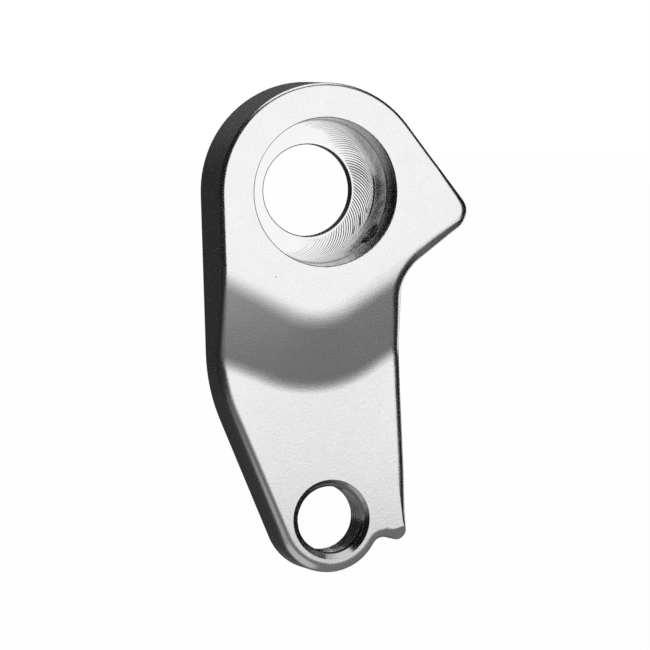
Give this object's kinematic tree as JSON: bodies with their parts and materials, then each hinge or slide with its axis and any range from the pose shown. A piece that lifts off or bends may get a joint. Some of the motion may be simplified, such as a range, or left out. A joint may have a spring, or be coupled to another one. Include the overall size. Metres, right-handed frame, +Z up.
{
  "type": "bicycle derailleur hanger",
  "caption": "One-piece aluminium hanger that sits on a bicycle's rear axle and carries the rear derailleur in a threaded eye.",
  "frame": {"origin": "centre of the recess floor that the hub's end cap stands on, on the axle's axis", "axes": "+Y along the axle away from the wheel, +Z up, against the arm that hangs down, +X towards the rear of the bicycle"},
  "size_m": [0.035, 0.01, 0.0667],
  "materials": {
    "hanger": "fine satin silver, bare machined metal in the holes and the recess"
  },
  "bodies": {
    "root": {"hanger": "hanger"}
  },
  "joints": []
}
